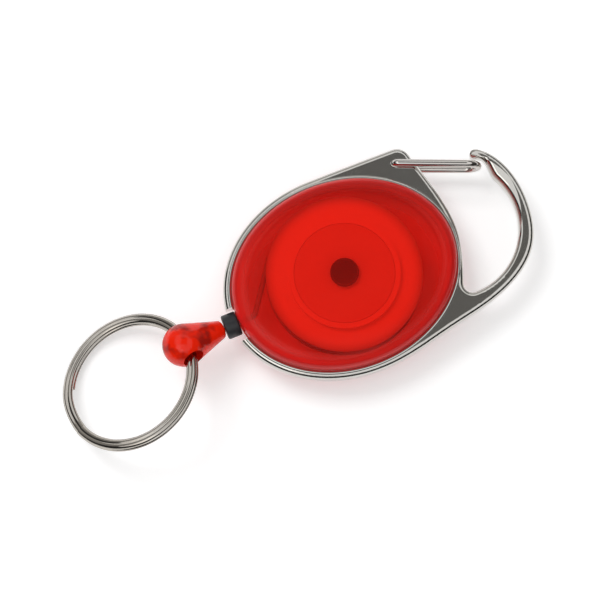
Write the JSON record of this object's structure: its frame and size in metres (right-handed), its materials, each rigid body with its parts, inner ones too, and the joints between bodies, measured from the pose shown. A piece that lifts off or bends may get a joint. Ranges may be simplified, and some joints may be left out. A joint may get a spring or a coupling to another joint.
{
  "type": "retractable badge reel",
  "caption": "Oval retractable badge reel in a carabiner frame with a wire gate; its cord ends in a drop-shaped fitting and a split ring.",
  "frame": {"origin": "on the flat back face, on the axis of the spool", "axes": "+X along the reel towards the hook, +Z out of the front cover, +Y towards the gate's side"},
  "size_m": [0.0855, 0.0344, 0.0125],
  "materials": {
    "frame_chrome": "bright plated die casting",
    "gate_steel": "bright drawn wire",
    "case_red": "translucent red, smooth",
    "spool_plastic": "natural white moulding",
    "axle_steel": "turned steel",
    "spring_steel": "blued spring strip",
    "cord_nylon": "braided nylon, pale grey",
    "stop_black": "satin black",
    "fitting_red": "clear red, glossy",
    "ring_nickel": "nickel plate"
  },
  "bodies": {
    "case": {"carabiner_frame": "frame_chrome", "front_cover": "case_red", "back_cover": "case_red", "spool_axle": "axle_steel", "cord_lead": "cord_nylon"},
    "spool": {"spool_drum": "spool_plastic", "spring_cover": "spool_plastic", "power_spring": "spring_steel", "cord_winding": "cord_nylon"},
    "gate": {"gate_wire": "gate_steel"},
    "cord_end": {"bump_stop": "stop_black", "cord_tail": "cord_nylon", "cord_knot": "cord_nylon"},
    "fitting": {"end_fitting": "fitting_red"},
    "ring": {"split_ring": "ring_nickel"}
  },
  "joints": [
    {"name": "cord_pull", "type": "slide", "parent": "case", "child": "cord_end", "axis": [-1, 0, 0], "range_m": [0, 0.6], "stiffness_N_per_m": 0.5, "springref_m": -1.2},
    {"name": "drum_spin", "type": "hinge", "parent": "case", "child": "spool", "pos_m": [0, 0, 0.0057], "axis": [0, 0, 1], "range_deg": [0, 3130], "deforming": ["power_spring"]},
    {"name": "gate_swing", "type": "hinge", "parent": "case", "child": "gate", "pos_m": [0.015, 0.0145, 0.0057], "axis": [0, 0, -1], "range_deg": [0, 25], "stiffness_Nm_per_rad": 0.004, "springref_deg": -28.65},
    {"name": "fitting_swivel", "type": "hinge", "parent": "cord_end", "child": "fitting", "pos_m": [-0.02229, -0.0007, 0.0057], "axis": [-0.9203, -0.0805, 0.3829], "continuous": true},
    {"name": "ring_swing", "type": "hinge", "parent": "fitting", "child": "ring", "pos_m": [-0.02899, -0.00129, 0.00849], "axis": [-0.0873, 0.9071, -0.4118], "range_deg": [-90, 90]}
  ],
  "couplings": [
    {"joint": "drum_spin", "follows": "cord_pull", "rad_per_m": 90.909}
  ]
}
